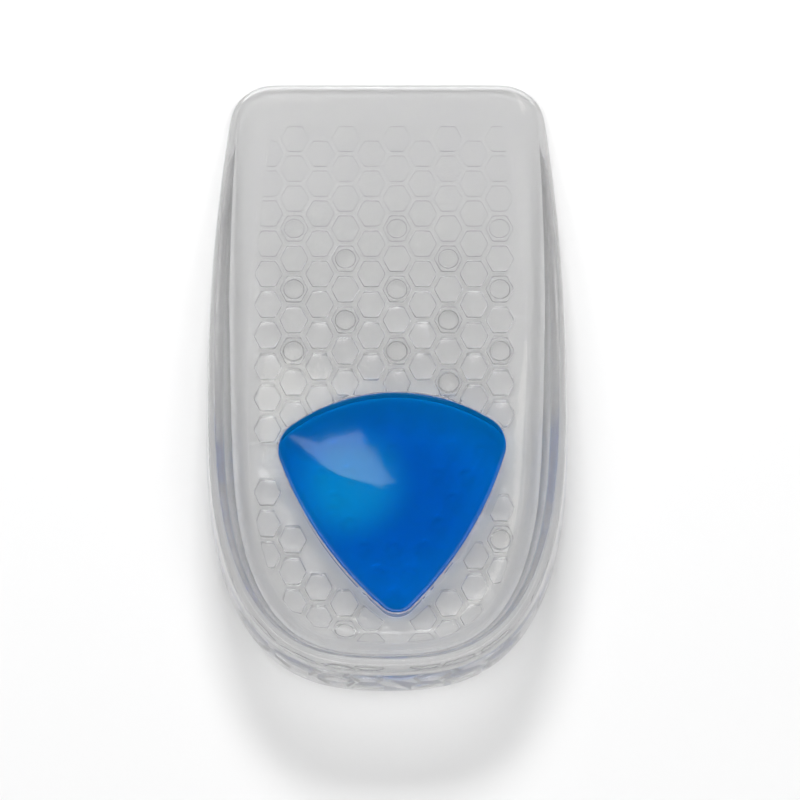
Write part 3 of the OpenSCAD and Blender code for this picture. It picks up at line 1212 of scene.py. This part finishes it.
@dataclass
class HoneycombTread(Piece):
    """The ribs under the floor and the roofs of their cells, with the stubs that the pips stand on."""

    tread: TreadShape
    play: float = 0.01 * MM
    corner_steps: int = 3
    corner_r: float = 0.45 * MM
    mouth_flare: float = 0.05 * MM
    roof_round: float = 0.05 * MM
    bend_share: float = 0.3
    stub_flare: float = 0.25 * MM
    stub_sides: int = 32
    room_below: float = 2 * MM

    def _corners(self) -> list[Vector]:
        """The cell's six corners.

        Returns:
            The corners in order.
        """
        t = self.tread
        tall = (t.cell_row - t.rib_t) / 2
        wide = t.cell_col / 3 - t.rib_t / math.sqrt(12)
        plan = ((2, 0), (1, -1), (-1, -1), (-2, 0), (-1, 1), (1, 1))
        return [Vector((a * wide, b * tall)) for a, b in plan]

    def _ring(self, grow: float, height: float) -> Ring:
        """The cell's outline with round corners, grown outwards.

        Args:
            grow: How far every side moves outwards.
            height: The ring's height.

        Returns:
            The ring's points.
        """
        corners = self._corners()
        ring = []
        for i, corner in enumerate(corners):
            before = (corners[i - 1] - corner).normalized()
            after = (corners[(i + 1) % len(corners)] - corner).normalized()
            inward = (before + after).normalized()
            centre = corner + inward * (self.corner_r / math.sin(before.angle(after) / 2))
            first, last = [
                (side if side.dot(inward) < 0 else -side)
                for side in (before.orthogonal(), after.orthogonal())
            ]
            for k in range(self.corner_steps):
                way = first.lerp(last, k / (self.corner_steps - 1)).normalized()
                ring.append(Vector((*(centre + (self.corner_r + grow) * way), height)))
        return ring

    def _cell(self) -> bpy.types.Object:
        """One cell's hole: flared at the ground and rounded under its roof.

        Returns:
            The shape to cut with.
        """
        flare, curl, depth = self.mouth_flare, self.roof_round, self.tread.depth
        mouth_bend, roof_bend = flare * self.bend_share, curl * self.bend_share
        profile = ((flare, -MM), (flare, 0.0), (mouth_bend, mouth_bend), (0.0, flare), (0.0, depth - curl),
                   (-roof_bend, depth - roof_bend), (-curl, depth))
        cell = Bench.loft("cell", [self._ring(grow, height) for grow, height in profile])
        return Bench.paint(cell, self.finishes.clear)

    def _pip_cell(self) -> bpy.types.Object:
        """A cell's hole with a stub left standing in it, on which a pip is bonded.

        Returns:
            The shape to cut with.
        """
        t = self.tread
        cell = self._cell()
        end = t.depth * (1 - t.stub_share)
        thin, wide = t.pip_d / 2, t.pip_d / 2 + self.stub_flare
        bend = end + self.bend_share * (t.depth - end)
        profile = ((thin, end), (thin, bend), (wide, t.depth), (wide, t.depth + MM))
        rings = []
        for radius, height in profile:
            turns = [2 * math.pi * k / self.stub_sides for k in range(self.stub_sides)]
            rings.append([Vector((radius * math.cos(a), radius * math.sin(a), height)) for a in turns])
        stub = Bench.loft("stub", rings)
        Bench.paint(stub, self.finishes.clear, self.finishes.bond, beneath(end + LEVEL))
        Bench.cut(cell, stub)
        return cell

    def _all_cells(self) -> list[bpy.types.Object]:
        """Every cell's hole, kept a rib clear of the tread's edge and of the pad's band.

        Returns:
            The plain holes and the holes with a stub.
        """
        t = self.tread
        found = []
        for model, with_pip in ((self._cell(), False), (self._pip_cell(), True)):
            holes = Bench.copies(model, [t.drop(x, y) for x, y in t.cells(with_pip)])
            outline = [s.inset(t.border_w + t.rib_t) for s in t.plan.stations()]
            room = Bench.column("room", outline, -self.room_below, 3 * t.depth)
            band = Bench.column("band", t.pad.outline(t.pad_band), -2 * self.room_below, 5 * t.depth)
            Bench.paint(room, self.finishes.clear)
            Bench.cut(room, Bench.paint(band, self.finishes.clear))
            Bench.cut(holes, room, keep=True)
            found.append(holes)
        return found

    def build(self) -> bpy.types.Object:
        """Models the tread.

        Returns:
            The finished tread.
        """
        t = self.tread
        body = t.block(self.name, self.play, t.roof_t - self.play, 0.0)
        Bench.paint(body, self.finishes.clear, self.finishes.bond, off_ground)
        pad_hole = Bench.column("pad_hole", t.pad.outline(self.play), -MM, 3 * t.depth)
        Bench.cut(body, Bench.paint(pad_hole, self.finishes.bond))
        for holes in self._all_cells():
            Bench.cut(body, holes)
        return self.fit(body)


@dataclass
class GripPips(Piece):
    """The round studs that stand in some of the cells."""

    tread: TreadShape
    play: float = 0.01 * MM
    sides: int = 32
    end_steps: int = 4

    def build(self) -> bpy.types.Object:
        """Models one pip and copies it to every place.

        Returns:
            The finished pips.
        """
        t = self.tread
        top = t.depth * (1 - t.stub_share) - self.play
        height = top - t.pip_gap
        bpy.ops.object.select_all(action="DESELECT")
        bpy.ops.mesh.primitive_cylinder_add(
            vertices=self.sides, radius=t.pip_d / 2, depth=height, location=(0, 0, t.pip_gap + height / 2)
        )
        pip = bpy.context.object
        pip.name = self.name
        bpy.ops.object.transform_apply(location=True, rotation=False, scale=False)
        bpy.ops.object.mode_set(mode="EDIT")
        bpy.ops.mesh.select_mode(type="EDGE")
        bpy.ops.mesh.select_all(action="DESELECT")
        mesh = bmesh.from_edit_mesh(pip.data)
        for edge in mesh.edges:
            if all(v.co.z < t.pip_gap + LEVEL for v in edge.verts):
                edge.select_set(True)
        bmesh.update_edit_mesh(pip.data)
        bpy.ops.mesh.bevel(offset=t.pip_end_r, segments=self.end_steps, affect="EDGES")
        bpy.ops.object.mode_set(mode="OBJECT")
        Bench.paint(pip, self.finishes.clear, self.finishes.bond, looks_up)
        pips = Bench.copies(pip, [t.drop(x, y, t.pip_gap) for x, y in t.cells(True)])
        return self.fit(pips)


@dataclass
class HeelPad(Piece):
    """The softer blue pad: crowned on top, round at its edges and dented underneath."""

    pad: PadPlan
    top_z: float
    floor_z: float = 7 * MM
    low_z: float = 0.3 * MM
    edge_r: float = 0.45 * MM
    top_edge_share: float = 0.8
    side_rings: tuple[float, ...] = (0.2, 0.5, 0.8)
    dent_pitch: float = 5.2 * MM
    dent_d: float = 4.4 * MM
    dent_h: float = 0.9 * MM
    core_r: float = 8.5 * MM
    dent_edge: float = 0.6 * MM
    dent_span: int = 6
    rings: int = 10
    levels: int = 2

    def _skin(self) -> bpy.types.Object:
        """The pad's skin, from the middle of its underside to the middle of its crown.

        Returns:
            The skin.
        """
        middle = self.pad.middle
        round_r, top_r = self.edge_r, self.edge_r * self.top_edge_share
        low, high = self.low_z, self.floor_z
        profile = [(-round_r * (1 - math.sin(a)), low + round_r * (1 - math.cos(a))) for a in ARC_TURNS]
        profile += [(0.0, mix(low, high, share)) for share in self.side_rings]
        profile += [(-top_r * (1 - math.cos(a)), high - top_r * (1 - math.sin(a))) for a in ARC_TURNS]
        shares = [i / self.rings for i in range(1, self.rings)]
        rim = self.pad.outline(-round_r)
        rings = [[Vector((*middle.lerp(p, share), self.low_z)) for p in rim] for share in shares]
        rings += [[Vector((*p, z)) for p in self.pad.outline(grow)] for grow, z in profile]
        rim = self.pad.outline(-top_r)
        for share in reversed(shares):
            height = mix(self.top_z, self.floor_z, share**2)
            rings.append([Vector((*middle.lerp(p, share), height)) for p in rim])
        return Bench.loft(self.name, rings)

    def _dents(self) -> list[Vector]:
        """Middles of the dents, which leave the pad's core plain.

        Returns:
            The middles.
        """
        middle, span, found = self.pad.middle, self.dent_span, []
        for i in range(-span, span + 1):
            for j in range(-span, span + 1):
                spot = middle + self.dent_pitch * Vector((i + j / 2, j * math.sqrt(3) / 2))
                clear = self.dent_edge + self.dent_d / 2
                if not self.pad.outside(*spot, -clear) and (spot - middle).length > self.core_r:
                    found.append(spot)
        return found

    def _press(self, pad: bpy.types.Object) -> None:
        """Presses soft round dents into the underside.

        Args:
            pad: The pad's smooth skin.
        """
        dents = self._dents()
        for vertex in pad.data.vertices:
            if vertex.co.z > self.low_z + LEVEL:
                continue
            gap = min((vertex.co.xy - spot).length for spot in dents)
            if gap < self.dent_d / 2:
                vertex.co.z += self.dent_h * math.cos(math.pi * gap / self.dent_d) ** 2

    def build(self) -> bpy.types.Object:
        """Models the pad.

        Returns:
            The finished pad.
        """
        pad = self._skin()
        Bench.smooth_cage(pad, self.levels)
        self._press(pad)
        sides = upright(self.low_z + self.edge_r, self.floor_z - self.edge_r)
        Bench.paint(pad, self.finishes.blue, self.finishes.seam, sides)
        return self.fit(pad)


# ---------------------------------------------------------------- the studio


@dataclass(frozen=True)
class Lamp:
    """One softbox that faces the cup: where it stands from the cup's middle, its size, watts and tint."""

    name: str
    way: tuple[float, float, float]
    size: tuple[float, float]
    power: float
    tint: tuple[float, float, float] = (1.0, 1.0, 1.0)

    def place(self, centre: Vector) -> bpy.types.Object:
        """Puts the lamp up.

        Args:
            centre: The cup's middle.

        Returns:
            The lamp's object.
        """
        data = bpy.data.lights.new(self.name, "AREA")
        data.shape = "RECTANGLE"
        data.size, data.size_y = self.size
        data.energy = self.power
        data.color = self.tint
        lamp = bpy.data.objects.new(self.name, data)
        bpy.context.scene.collection.objects.link(lamp)
        way = Vector(self.way)
        lamp.location = centre + way
        lamp.rotation_euler = (-way).to_track_quat("-Z", "Y").to_euler()
        return lamp


@dataclass
class Studio:
    """A plain pale floor, soft light from above and a long lens."""

    centre: Vector
    elevation: float = 75.0
    lean: float = 0.0
    distance: float = 0.95
    frame_w: float = 142.8 * MM
    aim: tuple[float, float, float] = (2.3 * MM, -4.75 * MM, 0.0)
    sensor_w: float = 36.0
    clip: tuple[float, float] = (0.01, 20.0)
    floor_side: float = 3.0
    floor_drop: float = 0.02 * MM
    floor_cloud: float = 0.4
    floor_low: tuple[float, float, float] = (0.90, 0.90, 0.90)
    floor_high: tuple[float, float, float] = (0.92, 0.92, 0.92)
    floor_rough: float = 0.9
    sky_high: float = 4.5
    sky_low: float = 0.3
    sky_dark: float = 0.02
    high_band: tuple[float, float] = (0.82, 0.93)
    dark_way: tuple[float, float, float] = (0.0, 0.30, 0.954)
    dark_band: tuple[float, float] = (0.87, 0.94)
    window: Lamp = Lamp(
        "window", way=(-0.105, 0.30, 0.95), size=(0.15, 0.18), power=0.26, tint=(1.0, 1.0, 0.9)
    )
    softbox: Lamp = Lamp("softbox", way=(-0.03, 0.72, 0.76), size=(0.34, 0.26), power=6.2)

    def _floor(self) -> None:
        """The plain pale floor."""
        bpy.ops.object.select_all(action="DESELECT")
        bpy.ops.mesh.primitive_plane_add(size=self.floor_side, location=(0, 0, -self.floor_drop))
        floor = bpy.context.object
        floor.name = "studio_floor"
        g = Graph.named("studio_floor")
        shade = g.blend(g.noise(self.floor_cloud, detail=1.0), self.floor_low, self.floor_high)
        floor.data.materials.append(g.finish({"Base Color": shade, "Roughness": self.floor_rough}))

    def _sky(self) -> None:
        """A pale sky: brightest high up, with one dark patch where the gel mirrors it to the camera."""
        world = bpy.data.worlds.new("studio_sky")
        g = Graph(world)
        way = g.add("ShaderNodeTexCoord")
        up = g.add("ShaderNodeSeparateXYZ", None, {"Vector": way}, "Z")
        dot = {"operation": "DOT_PRODUCT"}
        near = g.add("ShaderNodeVectorMath", dot, {0: way, 1: self.dark_way}, "Value")
        high, dark = g.ranged(up, *self.high_band), g.ranged(near, *self.dark_band)
        glow = (self.sky_low + high * (self.sky_high - self.sky_low)) * (1 - dark) + dark * self.sky_dark
        backdrop = g.add("ShaderNodeBackground", None, {"Color": (1.0, 1.0, 1.0, 1.0), "Strength": glow})
        g.output("ShaderNodeOutputWorld", {"Surface": backdrop})
        bpy.context.scene.world = world

    def _camera(self) -> None:
        """A long lens above the heel, level with the cup's length."""
        data = bpy.data.cameras.new("camera")
        data.sensor_width = self.sensor_w
        data.lens = data.sensor_width * self.distance / self.frame_w
        data.clip_start, data.clip_end = self.clip
        camera = bpy.data.objects.new("camera", data)
        bpy.context.scene.collection.objects.link(camera)
        up, side = math.radians(self.elevation), math.radians(self.lean)
        way = Vector((math.sin(side), -math.cos(up), math.sin(up))).normalized()
        target = self.centre + Vector(self.aim)
        right = Vector((0.0, 1.0, 0.0)).cross(way).normalized()
        turn = Matrix((right, way.cross(right), way)).transposed()
        camera.matrix_world = Matrix.Translation(target + self.distance * way) @ turn.to_4x4()
        bpy.context.scene.camera = camera

    def build(self) -> None:
        """Sets the studio up."""
        self._floor()
        self._sky()
        self.window.place(self.centre).visible_diffuse = False
        self.softbox.place(self.centre).visible_glossy = False
        self._camera()
        view = bpy.context.scene.view_settings
        view.view_transform, view.look = "Standard", "None"


def main() -> None:
    """Builds every piece in order and sets the studio up."""
    logging.basicConfig(level=logging.INFO, format="%(message)s")
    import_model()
    shell_low, shell_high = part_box(Node.SHELL.value)
    pad_low, pad_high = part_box(Node.PAD.value)
    tread_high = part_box(Node.TREAD.value)[1]

    plan = CupPlan(half_w=shell_high.x, back_y=shell_low.y, front_y=shell_high.y)
    wall = WallShape(plan=plan, wall_h=shell_high.z)
    pad_plan = PadPlan.fitted(pad_low, pad_high)
    tread = TreadShape(plan=plan, pad=pad_plan, depth=tread_high.z, pad_top_y=pad_high.y)

    middle = Vector((*pad_plan.middle, pad_high.z))
    finishes = Finishes(BlueGel(middle).material())
    GelCup("gel_cup", Node.SHELL, Slot.CLEAR_GEL, finishes, wall=wall, tread=tread, pad=pad_plan).build()
    HoneycombTread("honeycomb_tread_ribs", Node.TREAD, Slot.CLEAR_GEL, finishes, tread=tread).build()
    GripPips("grip_pip_studs", Node.PIPS, Slot.CLEAR_GEL, finishes, tread=tread).build()
    HeelPad("heel_pad_gel", Node.PAD, Slot.BLUE_GEL, finishes, pad=pad_plan, top_z=pad_high.z).build()
    Studio(centre=Vector((0.0, 0.0, shell_high.z / 2))).build()

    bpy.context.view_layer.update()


if __name__ == "__main__":
    main()
